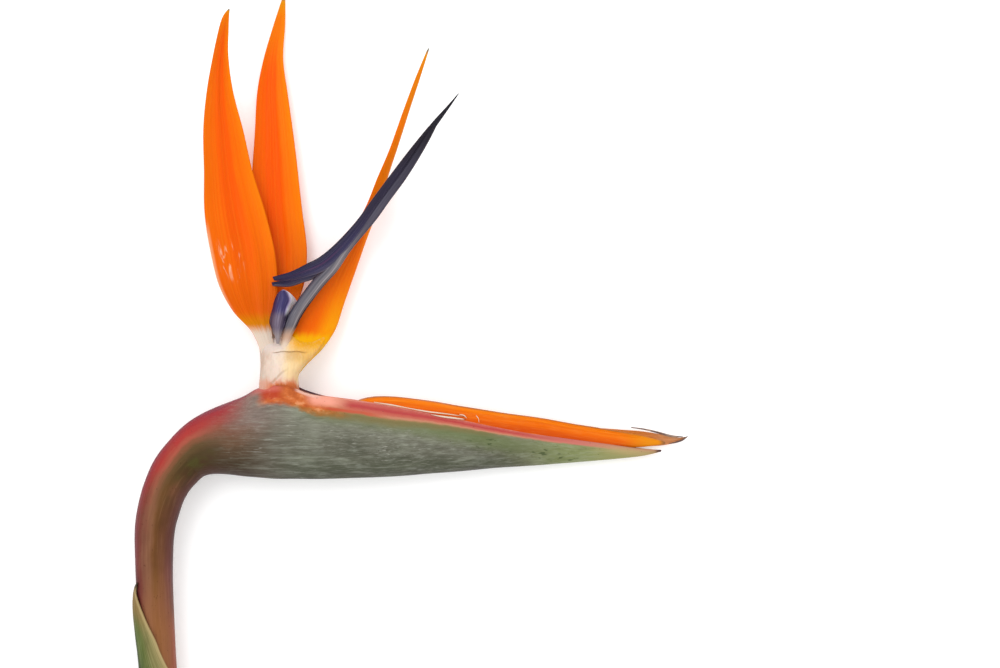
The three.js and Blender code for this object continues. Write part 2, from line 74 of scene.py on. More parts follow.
# Columns: y, x and z of the left edge, x and z of the right edge, z of the midrib.
SEPAL_NEAR = table("""
5 -5.4 0.9 -1.6 0.9 0.9, 9 -5.8 0.9 -1.4 0.7 0.7, 13.5 -7 1.1 -1.8 0.3 0.5, 20 -10 1.7 -2.8 -0.3 0.2,
27 -16.4 2.2 -2.1 -1.6 -1.4, 36 -21.3 2.4 -1.2 -4 -3, 48 -24.1 2.2 -2.1 -4.2 -3.6,
62 -26.3 1.8 -5.5 -3.8 -3.6, 76 -26.6 2 -9.9 -3 -3, 90 -26.6 2.8 -12.9 -1.8 -1.6,
104 -25.2 4 -16.4 0.2 0.4, 116 -23 5.4 -17.9 2.6 2.6, 125 -20.9 6.6 -17.6 4.6 4.8,
129.3 -19.5 7.2 -17.3 6.3 6.6, 132 -17.5 7.6 -17 7.2 7.4
""")
SEPAL_FAR = table("""
5 -3.6 -3.2 1.2 -3.2 -3.2, 9 -3.8 -3.4 1.4 -3.4 -3.6, 13.5 -4.2 -3.8 1.8 -3.8 -4.2,
20 -5.4 -4.8 2.6 -4.6 -5.4, 27 -6.6 -6 4.6 -5.2 -6.8, 36 -8 -7 8 -5.8 -8.2, 48 -9.4 -7.4 9 -6 -8.8,
62 -10.3 -7.2 7.6 -5.8 -8.8, 76 -10.2 -7 6 -5.8 -8.8, 90 -9.4 -7.2 4.1 -6.2 -9, 104 -8.5 -7.8 2.2 -7 -9.4,
116 -6.3 -8.8 0.6 -8.4 -9.9, 128 -2.9 -9.8 1.2 -9.6 -10.2, 138.6 0.5 -10.3 1.2 -10.3 -10.3
""")
# Columns: x and y of the margins, x and y of the back, z of the near and of the far margin.
SEPAL_MEDIAN = table("""
3.2 4.5 4.9 3.6 2.2 -3.6, 4.4 9 8.8 8.4 2.4 -4.2, 4 14.5 14.5 14.2 1 -5.8, 4.8 21.5 18.8 20.9 -1.3 -7,
8.4 29.5 21.7 29.6 -1.2 -7.4, 13 38 25.2 39.5 -1.1 -7.4, 20.2 47 28.4 48.5 -0.8 -7.2,
25.4 55.5 31.7 57.5 -0.8 -6.6, 30.2 64 34.6 65.5 -0.8 -6, 34 73.6 37.4 74.8 -0.9 -5.4,
38.4 84 40.6 84.6 -1.2 -5, 43 97 44.8 97.4 -1.8 -4.6, 47.2 108.4 48.7 108.8 -2.4 -4.2,
51.7 119.3 52.1 119.4 -3 -3.7
""")
# Columns as for the stalk.
ARROW_SHAFT = table("""
1.2 8 -0.2 88 1.4 1.4, 1.5 14 0.5 80 1.5 1.4, 2.5 18.6 1 68 1.75 1.5, 4.1 22.5 1.6 64 2.15 1.7,
5.5 25.5 1.8 60 2.2 1.7, 8 29.4 2.1 55 2.15 1.7, 13.6 36.8 2.5 52 2.2 1.8, 18.5 42.3 2.8 53 2.2 2,
23.6 50 3.3 55 2.3 2, 31.8 59.8 4 54 2.3 1.9, 36.8 66.6 4.5 53 2.2 1.8, 42.2 73.5 5 52 2 1.6,
47 80.4 5.3 54 1.7 1.4, 51.3 87.1 5.5 56 1.3 1.1, 54.2 92 5.5 57 0.9 0.8
""")
# Columns: x, y, z of the upper and of the lower edge.
WING_NEAR = table("""
-2.1 38.5 6.6 -1.5 37.8 6.3, 3.9 40.5 6.2 3.6 37.8 5.4, 9.1 43.1 5.8 9.6 39 4.6,
14.6 46.1 5.6 15.9 41.2 4.2, 20.5 51.2 5.6 22.4 47 4.4, 26.9 58.2 5.8 29 55.4 5,
32.1 65.2 6.2 34 63.2 5.5, 37.4 72.3 6.6 39.4 70.6 5.9, 42.8 79.4 6.8 44.6 78 6.2,
48.1 86.2 6.4 49.4 85 6, 52.8 91.9 5.8 53.5 91.4 5.7
""")
WING_FAR = table("""
-3 36.6 -1.8 -2.7 36.1 -1.7, 3.6 38.6 -1.4 2.8 35.5 -0.8, 9 41.8 -0.8 7.8 36.9 0,
14.7 45.3 -0.2 12.6 38.8 0.6, 20.4 50.8 0.6 20.6 46.4 1.6, 26.8 57.8 1.8 28.6 55.6 2.6,
32 64.8 2.6 34 63 3.4, 37.3 71.9 3.4 39.2 70.4 4.1, 42.6 79 4 44.4 77.8 4.6, 48 86 4.8 49.2 84.8 5.1,
52.7 91.7 5.3 53.4 91.3 5.3
""")
# Columns as for the stalk.
STYLE = table("""
51.6 88.6 5.5 54 1.2 0.9, 54.6 92.6 5.6 53 1 0.8, 58.8 97.8 5.6 51 0.56 0.54, 62.6 102.7 5.6 50 0.15 0.15
""")
# Columns: x, y, z of the left edge, of the ridge and of the right edge.
HOOD = table("""
-0.9 15.6 2.3 -0.6 15.6 2.6 -0.3 15.6 2.3, -1.7 18.4 2.2 -0.7 18.4 3.4 0.4 18.4 2.7,
-3 21.2 1.8 -0.6 21.2 4 1.7 21.2 2.4, -3.6 23.4 1.6 -0.2 23.6 4.2 2.5 23.8 1.4,
-2.6 27.6 1.6 0.7 28.2 4.2 4.3 28 -1, -1.7 31 2 1.6 31.4 4 5.8 30.2 -1.8,
-0.6 33.4 2.4 1.3 34.4 3.2 3.4 33.6 0.6
""")
# Columns: x, y of the middle, half height, half width.
BUD_BELLY = table("""
-5 -21 1.2 1.2, 0 -21.6 7 6.4, 7 -21 8.6 7.8, 14 -19.6 9.8 8.2, 28 -18.1 11 7.6, 42 -18.5 10 6.7,
59.5 -19.4 7.9 5.5, 77 -20.6 5.5 4.3, 94.5 -21.4 3.6 3.2, 112 -21.8 1.9 2, 118 -21.8 0.8 0.8
""")
# Columns: x, top, bottom, half width.
BUD_RIDGE = table("""
16 -9.5 -20 3, 24 -5.6 -22 4.2, 31 -3.3 -22 4.5, 40 -3 -22 4.4, 52.5 -4.5 -22 4.1, 65 -6.7 -21.5 3.8,
77.7 -8.7 -21.5 3.3, 91 -10.5 -21.5 2.8, 103 -12.7 -21.6 2.2, 113 -14.4 -21.4 1.9, 122 -15.9 -21.2 1.6,
129 -17.4 -20.7 1.2, 135 -19 -19.9 0.5
""")
# Columns: x, y, z of the upper and of the lower edge.
BRACTEOLE = table("""
97 -17.2 -8 97 -17.8 -8, 103 -15.2 -8.4 103 -18.9 -8.2, 109 -14.2 -8.7 109 -19.7 -8.5,
118 -14.7 -9 118 -20.4 -8.7, 128 -15.5 -8.9 128 -20.7 -8.3, 135.5 -16.8 -8.1 135.5 -20.1 -7.8,
140.3 -17.6 -7.4 140.6 -18.8 -7.3, 143 -17.1 -7.2 143.1 -17.3 -7.2
""")
# Each strip is a path, with the columns x, y, z and share of its width, and that width.
MEMBRANES = [
    (table("33 -4.9 3.9 0.4, 39.3 -5.9 3.2 1, 45 -7 2.4 0.6, 51.5 -8.2 1.7 1, 58 -9 1.1 0.7,"
           "65.1 -10 0.6 0.4"), 0.42),
    (table("53 -9.3 1.7 0.2, 57 -10 1.4 1, 61 -10.5 1 1, 65 -11 0.7 0.4"), 0.55),
    (table("62.8 -9.2 0.7 0.4, 64.4 -9.6 0.7 1, 65.4 -10.6 0.7 0.4"), 0.35),
    (table("68.6 -9.6 0.3 0.2, 69.4 -10.6 0.4 1, 69.7 -12.2 0.3 0.3"), 0.4),
]
# Columns as for the stalk.
AWNS = [
    table("123.2 -14 -7.6 -10 0.16 0.16, 128.1 -14.7 -7.4 -9 0.26 0.22, 132.3 -15.7 -7.2 -12 0.34 0.3,"
          "137.2 -17 -7 -8 0.36 0.3, 141.4 -17.3 -7.1 4 0.14 0.12"),
    table("136.4 -19.7 -7.3 6 0.1 0.1, 138.6 -19.3 -7.1 11 0.26 0.26, 141.2 -18.4 -6.9 24 0.32 0.3,"
          "143.2 -17.1 -7 38 0.08 0.08"),
]


def at(point):
    """A point of the tables in metres, never below the surface that the flower lies on."""
    moved = (point + FOOT) * 0.001
    moved.z = max(moved.z, 0.0)
    return moved


def smooth(rows, t):
    """A row of numbers on the smooth curve through a table's rows, for t from 0 to 1."""
    along = t * (len(rows) - 1)
    i = min(max(int(along), 0), len(rows) - 2)
    f = along - i
    four = rows[max(i - 1, 0)], rows[i], rows[i + 1], rows[min(i + 2, len(rows) - 1)]
    return [
        q + 0.5 * f * (r - p + f * (2 * p - 5 * q + 4 * r - s + f * (3 * (q - r) + s - p)))
        for p, q, r, s in zip(*four)
    ]


def row_at(rows, value):
    """The row of a table at a value of its first column, which rises from row to row."""
    low, high = 0.0, 1.0
    for _ in range(30):
        middle = (low + high) / 2
        if smooth(rows, middle)[0] < value:
            low = middle
        else:
            high = middle
    return smooth(rows, low)


def step(low, high, value):
    """0 below low, 1 above high, and smooth between them."""
    f = min(max((value - low) / (high - low), 0.0), 1.0)
    return f * f * (3 - 2 * f)


def bump_at(value, middle, width):
    return exp(-(((value - middle) / width) ** 2))


def rough_at(*place):
    return noise.noise(Vector(place))


def stations(steps):
    return [j / steps for j in range(steps + 1)]


class Shape:
    """Gathers sheets of quads with their two coordinate maps, and becomes one object."""

    def __init__(self):
        self.points, self.faces, self.share, self.rim, self.slots = [], [], [], [], []

    def sheet(self, grid, share, rim=None, wrap=False, slot=0, caps=(0, -1)):
        """Quads over rows of points. With wrap a row closes on itself, its coordinates have one
        more entry than its points, and a strip closes the flat rings at the ends that caps names."""
        rim = rim or share
        first, count, last = len(self.points), len(grid[0]), len(grid) - 1
        for row in grid:
            self.points += [at(p) for p in row]
        quads = [((j, i), (j, i + 1), (j + 1, i + 1), (j + 1, i))
                 for j in range(last) for i in range(count if wrap else count - 1)]
        for j in [end % (last + 1) for end in caps if wrap]:
            quads += [((j, i), (j, i + 1), (j, count - 2 - i), (j, count - 1 - i))
                      for i in range(count // 2 - 1)]
        for corners in quads:
            self.faces.append([first + a * count + b % count for a, b in corners])
            self.share += [share[a][b] for a, b in corners]
            self.rim += [rim[a][b] for a, b in corners]
        self.slots += [slot] * len(quads)

    def finish(self, name, materials, slot, nodes=(), sharp=48):
        mesh = bpy.data.meshes.new(name)
        mesh.from_pydata(self.points, [], self.faces)
        for layer, pairs in (("share", self.share), ("rim", self.rim)):
            coordinates = mesh.uv_layers.new(name=layer)
            coordinates.data.foreach_set("uv", [n for pair in pairs for n in pair])
        mesh.polygons.foreach_set("material_index", self.slots)
        for material in materials:
            mesh.materials.append(material)
        work = bmesh.new()
        work.from_mesh(mesh)
        bmesh.ops.remove_doubles(work, verts=work.verts, dist=1e-7)
        bmesh.ops.recalc_face_normals(work, faces=work.faces)
        work.to_mesh(mesh)
        work.free()
        mesh.shade_smooth()
        mesh.set_sharp_from_angle(angle=radians(sharp))
        piece = put_in_scene(name, mesh)
        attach(piece, "root")
        if nodes:
            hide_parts(*nodes)


def put_in_scene(name, data, location=(0, 0, 0)):
    thing = bpy.data.objects.new(name, data)
    thing.location = location
    bpy.context.scene.collection.objects.link(thing)
    return thing


# Forms that several pieces share


def ring_at(row, angle, out=0.0):
    """A point of an oval ring: the angle runs from below, over its right side, to above."""
    x, y, z, heading, in_plane, across = row
    turn = angle - pi / 2
    side = Vector((sin(radians(heading)), -cos(radians(heading)), 0))
    middle = Vector((x, y, z + (across + out) * sin(turn)))
    return middle + side * (in_plane + out) * cos(turn)


def tube(shape, rows, steps, sides, relief=lambda t, share: 0.0, slot=0):
    """A round or oval tube with rounded ends closed by a strip."""
    grid, share = [], []
    for t in stations(steps):
        row = smooth(rows, t)
        grid.append([ring_at(row, tau * i / sides, relief(t, i / sides)) for i in range(sides)])
        share.append([(s, t) for s in stations(sides)])
    shape.sheet(grid, share, wrap=True, slot=slot)


def blade(shape, rows, thickness, steps, spans, margin, fold=2.0, relief=lambda t, s: 0.0, point=0.985):
    """A leaf-like blade between two edges, thick in the middle and thin at its rounded margins.
    Each row holds x, y, z of edge A, of the middle line and of edge B, from root to tip."""

    def surface(t, s):
        row = smooth(rows, t)
        a, m, b = Vector(row[0:3]), Vector(row[3:6]), Vector(row[6:9])
        return m + (b - a) * (s / 2) + ((a + b) / 2 - m) * abs(s) ** fold

    grid, share = [], []
    tiny = 1e-3
    thinnest = 0.02
    for t in stations(steps):
        narrow = sqrt(max(1 - max(0.0, (t - point) / (1 - point)) ** 2, 0.02))
        front, back, pairs = [], [], []
        for i in range(spans + 1):
            s = sin(pi / 2 * (2 * i / spans - 1))
            wide = s * narrow
            along_s = surface(t, wide + tiny) - surface(t, wide - tiny)
            along_t = surface(t + tiny, wide) - surface(t - tiny, wide)
            normal = along_s.cross(along_t).normalized()
            edge = max(0.0, (abs(s) - 0.9) / 0.1)
            half = thickness / 2 * (1 - (1 - margin) * s * s) * sqrt(max(1 - edge * edge, 0.0))
            half *= 1 - 0.6 * step(0.75, 1, t)
            half = max(half * narrow, thinnest)
            middle = surface(t, wide) + normal * relief(t, s)
            front.append(middle + normal * half)
            back.append(middle - normal * half)
            pairs.append(((s + 1) / 2, t))
        grid.append(front + back[::-1])
        share.append(pairs + pairs[::-1] + pairs[:1])
    shape.sheet(grid, share, wrap=True)


def edged(rows, lift):
    """Rows for a blade whose middle line runs halfway between its edges, lifted by some millimetres."""
    return [
        (ax, ay, az, (ax + bx) / 2, (ay + by) / 2, (az + bz) / 2 + lift, bx, by, bz)
        for ax, ay, az, bx, by, bz in rows
    ]


# Materials

PIGMENT = 0.8  # a surface's own colour over the colour that it shows under the lamps
HAZE = 0.014  # the light that its gloss adds to each channel


def linear(code):
    """The pigment for a colour written as six hexadecimal digits, for Blender's linear sockets."""
    values = [int(code[k:k + 2], 16) / 255 for k in (0, 2, 4)]
    values = [v / 12.92 if v <= 0.04045 else ((v + 0.055) / 1.055) ** 2.4 for v in values]
    return [max(0.0, PIGMENT * (v - HAZE)) for v in values] + [1.0]


def feed(socket, value):
    """Links a field to a node's input, or gives it a colour's pigment or a plain value."""
    if isinstance(value, Field):
        socket.id_data.links.new(value.socket, socket)
    else:
        socket.default_value = linear(value) if isinstance(value, str) else value


def make(tree, kind, output, inputs, **settings):
    """One output of a new node with these inputs and settings."""
    node = tree.nodes.new("ShaderNode" + kind)
    for name, value in settings.items():
        setattr(node, name, value)
    for key, value in inputs.items():
        feed(node.inputs[key], value)
    return Field(node.outputs[output])


def operation(name):
    return lambda field, other=0.0: field.make("Math", "Value", {0: field, 1: other}, operation=name)


class Field:
    """A number, point or colour over the surface: one output of a node."""

    def __init__(self, socket):
        self.socket = socket

    __add__ = operation("ADD")
    __sub__ = operation("SUBTRACT")
    __mul__ = operation("MULTIPLY")
    __pow__ = operation("POWER")
    __abs__ = operation("ABSOLUTE")
    maximum = operation("MAXIMUM")
    sine = operation("SINE")
    fraction = operation("FRACT")

    def make(self, kind, output, inputs, **settings):
        return make(self.socket.id_data, kind, output, inputs, **settings)

    def split(self):
        return [Field(part) for part in self.make("SeparateXYZ", 0, {0: self}).socket.node.outputs]

    def fade(self, low, high, start=0.0, end=1.0, ease="SMOOTHSTEP"):
        """start at low, end at high, smooth between them."""
        inputs = {"Value": self, "From Min": low, "From Max": high, "To Min": start, "To Max": end}
        return self.make("MapRange", "Result", inputs, interpolation_type=ease)

    def window(self, rise, top, fall, end):
        """A mask that is 1 between top and fall, and 0 outside rise and end."""
        return self.fade(rise, top) * self.fade(end, fall)

    def noise(self, scale, detail=3.0, roughness=0.5, distortion=0.0):
        """Noise over a point, whose grain is about 1 / scale along each axis."""
        scale = scale if isinstance(scale, tuple) else (scale, scale, scale)
        stretched = self.make("VectorMath", "Vector", {0: self, 1: scale}, operation="MULTIPLY")
        return self.make("TexNoise", "Fac", {
            "Vector": stretched, "Scale": 1, "Detail": detail, "Roughness": roughness,
            "Distortion": distortion})

    def ramp(self, stops, ease="EASE"):
        """A colour for each value. Each stop is a position in hundredths and a colour."""
        color = self.make("ValToRGB", "Color", {"Fac": self})
        ramp = color.socket.node.color_ramp
        ramp.interpolation = ease
        stops = [stop.split() for stop in stops.split(",")]
        while len(ramp.elements) < len(stops):
            ramp.elements.new(0.5)
        for element, (position, code) in zip(ramp.elements, stops):
            element.position = float(position) / 100
            element.color = linear(code)
        return color

    def over(self, *layers):
        """This colour with others laid over it in turn, each through a mask."""
        color = self
        for mask, layer in layers:
            color = self.make("Mix", 2, {"Factor": mask, 6: color, 7: layer}, data_type="RGBA")
        return color

    def streaks(self, grain, strength, low, high):
        """This colour, darker and lighter by a noise round its middle."""
        return self.over((grain.fade(0.5, 0.28) * strength, low), (grain.fade(0.5, 0.72) * strength, high))


class Paint:
    """A node material: its coordinates and its shader."""

    def __init__(self, name, roughness, specular=0.2, **finish):
        self.material = bpy.data.materials.new(name)
        self.material.use_nodes = True
        self.tree = self.material.node_tree
        self.tree.nodes.clear()
        surface = make(self.tree, "BsdfPrincipled", "BSDF", {})
        feed(self.tree.nodes.new("ShaderNodeOutputMaterial").inputs["Surface"], surface)
        self.inputs = surface.socket.node.inputs
        for key, value in {"Roughness": roughness, "Specular_IOR_Level": specular, **finish}.items():
            self.inputs[key.replace("_", " ")].default_value = value

    def map(self, name):
        """A coordinate map as a point, and its two coordinates."""
        point = make(self.tree, "UVMap", "UV", {}, uv_map=name)
        return point, *point.split()[:2]

    def place(self):
        """The point in the model's frame, in metres."""
        return make(self.tree, "TexCoord", "Object", {})

    def table_place(self):
        """The point in the tables' millimetres, and its x, y and z."""
        inputs = {0: self.place(), 1: (1000, 1000, 1000), 2: -FOOT}
        point = make(self.tree, "VectorMath", "Vector", inputs, operation="MULTIPLY_ADD")
        return point, *point.split()

    def finish(self, color, *bumps, **inputs):
        """The material, with its colour, bumps and what else feeds its shader. Each bump is a
        height, a distance and a strength."""
        normal = {}
        for height, distance, strength in bumps:
            bump = {"Height": height, "Distance": distance, "Strength": strength, **normal}
            normal = {"Normal": make(self.tree, "Bump", "Normal", bump)}
        for name, value in {"Base Color": color, **normal, **inputs}.items():
            feed(self.inputs[name], value)
        return self.material


def rind(paint):
    """Colour of the stalk, bend and shoulder of the spathe, over their girth and length."""
    _, u, along = paint.map("share")
    place = paint.table_place()[0]
    wander = place.noise(0.09) - 0.5
    shifted = along + wander * 26
    # 0 at the inner side or keel, 1 at the outer side or margin
    across = abs((u + 0.25).fraction() - 0.5) * 2 + wander * 0.16
    stem = across.ramp(
        "0 604446, 10 6e4a4c, 20 7c4e48, 35 82563e, 45 7c5434, 57 8a5f48, 66 7e5242, 74 78423a,"
        "83 7c3c3e, 93 6a3038, 100 582a36")
    stem = stem.over(
        (along.window(132, 147, 156, 168) * across.fade(0.52, 0.4) * 0.42, "4c3226"),
        (along.fade(138, 114) * across.fade(0.8, 0.6) * 0.6, "a06a46"),
        (along.fade(126, 108) * across.fade(0.3, 0.1) * 0.6, "a04e40"),
        # painted shadow: dark brown on the left side of the stalk just above the sheath's tip, where the tip
        # shades it
        (along.window(112, 122, 131, 143) * across.fade(0.7, 0.84) * 0.5, "4a261c"))
    bend = across.ramp(
        "0 543834, 12 583a34, 30 4e3a2a, 42 50412c, 50 624e34, 57 86563e, 62 ac5848, 70 ae3e3a,"
        "82 9c2e34, 90 852a38, 100 6e2a36")
    shoulder = across.ramp(
        "0 4a3c38, 25 4c4032, 40 5e4c3c, 50 6e5442, 60 805646, 70 9a4e48, 80 a43c40, 90 8e3644, 100 722e40")
    green = along.window(166, 176, 184, 194) * across.window(0.22, 0.32, 0.38, 0.46)
    green = green * place.noise(0.16, 2).fade(0.4, 0.6) * 0.38
    color = stem.over((shifted.fade(148, 178), bend), (shifted.fade(178, 200), shoulder), (green, "535a2c"))
    return color, place, along, shifted, across


def stalk_material():
    paint = Paint("stalk_rind", 0.5, 0.1)
    share = paint.map("share")[0]
    grain = share.noise((55, 0.06, 1), 4, 0.6)
    fine = share.noise((150, 0.5, 1), 3, 0.6)
    color, place = rind(paint)[:2]
    color = color.streaks(grain, 0.12, "2c1a16", "b98a6a")
    color = color.streaks(place.noise((0.12, 0.07, 0.12)), 0.18, "4a2c24", "98604a")
    color = color.over((place.noise((1.6, 0.9, 1.6), 2).fade(0.68, 0.74) * 0.5, "3a221c"))
    return paint.finish(color, (grain, 0.00022, 0.5), (fine, 0.00008, 0.4), Roughness=fine * 0.14 + 0.42)


def pith_material():
    """The cut face: pale pith with the dots of its vessels and a darker rim."""
    paint = Paint("cut_pith", 0.55)
    v = paint.map("share")[2]
    place = paint.place()
    dots = place.make("TexVoronoi", "Distance", {"Vector": place, "Scale": 900}).fade(0.3, 0.2)
    color = v.ramp("0 d8d3a4, 72 cfcb9a, 88 a9ac6c, 96 6f5a3a, 100 5c3a2e")
    color = color.streaks(place.noise(300), 0.2, "8f8a58", "f0ecd0")
    return paint.finish(color.over((dots * v.fade(0.92, 0.84) * 0.65, "857a45")), (dots, 0.0002, 0.5))


def sheath_material():
    paint = Paint("sheath_skin", 0.5, 0.08)
    share, u, _ = paint.map("share")
    _, inward, y = paint.map("rim")
    cloud = paint.table_place()[0].noise((0.2, 0.08, 0.2))
    veins = share.noise((60, 0.05, 1), 3, 0.6)
    color = u.ramp(
        "0 545a3c, 30 38402c, 50 38422a, 56 424e32, 64 52603a, 74 686e42, 84 868054, 100 aa986a")
    color = color.streaks(cloud, 0.3, "3f4a2c", "98986a").over(
        (y.fade(-88, -74) * 0.8, "94744a"),
        (y.window(-102, -90, -84, -77) * u.window(0.5, 0.58, 0.66, 0.82) * 0.45, "68783e"),
        (inward.fade(1.7, 0.4) * 0.8, "bda878"), (inward.fade(0.42, 0.15) * 0.6, "8a6a48"),
        (y.fade(-71.2, -68.8), "3a2a22"))
    return paint.finish(color.streaks(veins, 0.28, "343c24", "b9b584"), (veins, 0.0002, 0.6))


def spathe_material():
    """Grey-green waxy skin with a crimson and salmon margin."""
    paint = Paint("spathe_skin", 0.5, 0.12)
    base, place, along, shifted, across = rind(paint)
    _, below, x = paint.map("rim")
    z = place.split()[2]
    grain = place.noise((0.06, 1.1, 1.1), 4, 0.6)
    fine = place.noise((0.22, 2.8, 2.8), 4, 0.65)
    wax = place.noise((0.12, 0.36, 0.2), 4, 0.65)
    body = across.ramp("0 504c4b, 8 545348, 22 5b5d4e, 42 6c6b5e, 60 838374, 78 858872, 100 7c8460")
    body = body.streaks(place.noise((0.06, 0.15, 0.1), 4, 0.6), 0.42, "45483a", "9a9e8c")
    body = body.streaks(wax, 0.3, "4f5243", "a5a99b").over(
        (x.fade(70, 128), "989a66"),
        (x.window(84, 100, 118, 128) * 0.4, "8c9c62"), (x.fade(10, -14) * 0.6, "70625a"),
        (across.fade(0.84, 0.97) * x.fade(2, -8), "6e3248"),
        (x.fade(7, -9) * across.fade(0.4, 0.6) * 0.7, "8c7871"))
    border = along + (shifted - along) * 0.3 + across.window(0.5, 0.64, 0.84, 0.92) * 7
    color = base.over((border.fade(199, 213), body))
    texture = x.fade(-32, 0)
    color = color.streaks(grain, texture * 0.25, "3a3d32", "b4b8a8").streaks(
        fine, texture * 0.18, "34362b", "c8cabc")

    # The bands of the margin: depth, wavy and ragged are its coordinates with torn edges
    uneven = (place.noise((0.35, 0.6, 0.35), 4, 0.65) - 0.5) * 3
    depth, wavy, ragged = below + uneven, below + uneven * 0.3, x + uneven
    band = wavy * x.fade(40, 118, 1.0, 3.2, "LINEAR")
    stripe = (band * 0.2).ramp("0 e29484, 12 cd685e, 40 bf4d4c, 62 ca695a, 80 cc8a6e, 100 a08458")
    glow = place.noise((0.22, 0.34, 0.24), 4, 0.55).ramp("32 a3462c, 45 c8632f, 56 d9733c, 68 ee9a68")
    color = color.over(
        (depth.window(1.5, 3.4, 4.6, 11) * x.window(2, 18, 70, 110) * 0.75, "6f7b4e"),
        (band.window(3.4, 4.6, 5.4, 8.5) * x.window(10, 20, 60, 90) * 0.6, "8a744a"),
        (band.fade(5.6, 4) * x.fade(15, 25), stripe.over((x.fade(76, 110), "cf7c70"))),
        (depth.fade(7.4, 5) * ragged.window(-8.6, -3, 14, 27) * 0.92, glow),
        (depth.window(4.4, 5.4, 6.2, 7.6) * x.window(3, 8, 18, 26) * 0.5, "8a6a34"),
        (wavy.fade(4.6, 1.6) * x.window(8, 13, 17, 26), "ffae98"),
        (wavy.window(3.2, 3.8, 4.2, 4.9) * x.window(14, 19, 30, 40) * 0.7, "cb4c38"),
        (depth.window(0.6, 1.8, 3.6, 5.4) * ragged.window(-8.5, -4, -1, 2.5) * 0.85, "b8402c"),
        (wavy.fade(2.8, 0.8) * x.window(-11.5, -7, -2, 3) * 0.7, "d4706a"),
        (below.fade(1.3, 0.5) * x.window(5, 7, 12, 16) * 0.8, "f6c8b8"),
        # painted shade: dark violet on the far lip's rim (z below -3 mm), down in the mouth
        (below.fade(3, 1.4) * x.window(0, 4, 11, 17) * z.fade(-2.5, -3.5), "5c4258"),
        (x.fade(104, 124), (below * 0.25).ramp("0 c89a7a, 40 bca674, 100 a5a06a")),
        (x.fade(130.8, 133.4), "664a4a"))

    # Marks: dark green smudges, pale scuffs and brown nicks
    smudge = place.noise((0.32, 0.9, 0.3)).fade(0.58, 0.66) * below.window(3.5, 5, 8, 11)
    scuff = place.noise((0.17, 2.4, 2.4), 2, 0.5, 0.4).fade(0.57, 0.7)
    scuff = scuff * (x.window(-22, -12, 40, 70) * across.window(0.2, 0.32, 0.54, 0.64))
    scuff = scuff * place.noise((0.12, 0.2, 0.1)).fade(0.46, 0.58)
    color = color.over(
        (smudge * x.window(60, 74, 100, 112) * 0.65, "3c4a2c"), (scuff * 0.5, "c2c1b4"),
        (place.noise((1.1, 1.9, 1.1), 2).fade(0.7, 0.75) * 0.55, "3f3a30"))
    return paint.finish(
        color, (grain, 0.0004, 0.6), (fine, 0.00015, 0.5), (scuff, 0.0002, 0.5), Roughness=wax * 0.2 + 0.4)


def inside_material():
    """The smooth inner face of the spathe."""
    paint = Paint("spathe_inside", 0.4)
    rim, below, _ = paint.map("rim")
    fibre = rim.noise((1.6, 0.05, 1), 3, 0.6)
    color = (below * 0.12).ramp("0 f0c8bc, 20 e8b4a4, 40 c98f74, 100 a9a878")
    return paint.finish(color.streaks(fibre, 0.3, "7a5a40", "e6c8a0"), (fibre, 0.0002, 0.4))


def neck_material():
    paint = Paint("cream_neck", 0.5, 0.1, Subsurface_Weight=0.1, Subsurface_Scale=0.002)
    place, x, y, _ = paint.table_place()
    cloud = place.noise((0.28, 0.16, 0.28), 4, 0.6)
    fibre = place.noise((1.8, 0.14, 1.8), 3, 0.6)
    sideways = x + (cloud - 0.5) * 5
    rust = y + (cloud - 0.5) * 6
    color = sideways.fade(-8, 10).ramp(
        "0 c6ae9c, 12 e2cbba, 35 f0dccd, 55 f6dfc0, 75 f9d69c, 100 f9ca74", "LINEAR")
    color = color.over(
        (y.fade(11, 16.2) * x.fade(1, 7), "f8b01c"),
        (y.fade(11, 15) * x.fade(3.5, 0.5) * 0.5, "eadfdc"),
        # painted light: a lighter cream on the lower right of the neck, brightening the side that the lamps
        # leave in shade
        (y.fade(10.5, 7) * sideways.fade(0.5, 4.5) * 0.6, "ffe0ae"),
        # painted shadow: tan just below the level crease
        (y.window(8.5, 11, 12.6, 13.4) * x.window(0.5, 3.5, 7, 11) * 0.4, "cc9652"),
        (rust.fade(4.4, 1.4) * 0.6, "e8a48c"),
        (rust.fade(2.8, 0.6) * sideways.fade(-6.5, -1.5), "da7440"))
    color = color.streaks(fibre, 0.13, "b08a68", "fff6e6").streaks(cloud, 0.16, "c79a78", "fff4e4")

    # Two creases, one nearly level and one slanting, drawn darker along their lines as painted shade
    level = y - ((x * 1.3).sine() * 0.12 + (x - 4) ** 2 * -0.008 + 12.75)
    level = abs(level).fade(0.3, 0.05) * x.window(-3.2, -1.2, 7, 10.5)
    slant = abs(y * 0.72 - x * 0.69 + cloud * 1.6 - 3.9).fade(0.7, 0.1) * y.window(1.2, 2.4, 4.5, 8)
    color = color.over((level * (fibre * 1.1), "8f6440"), (slant * 0.4, "a87c52"))
    return paint.finish(color, (fibre, 0.00025, 0.5))


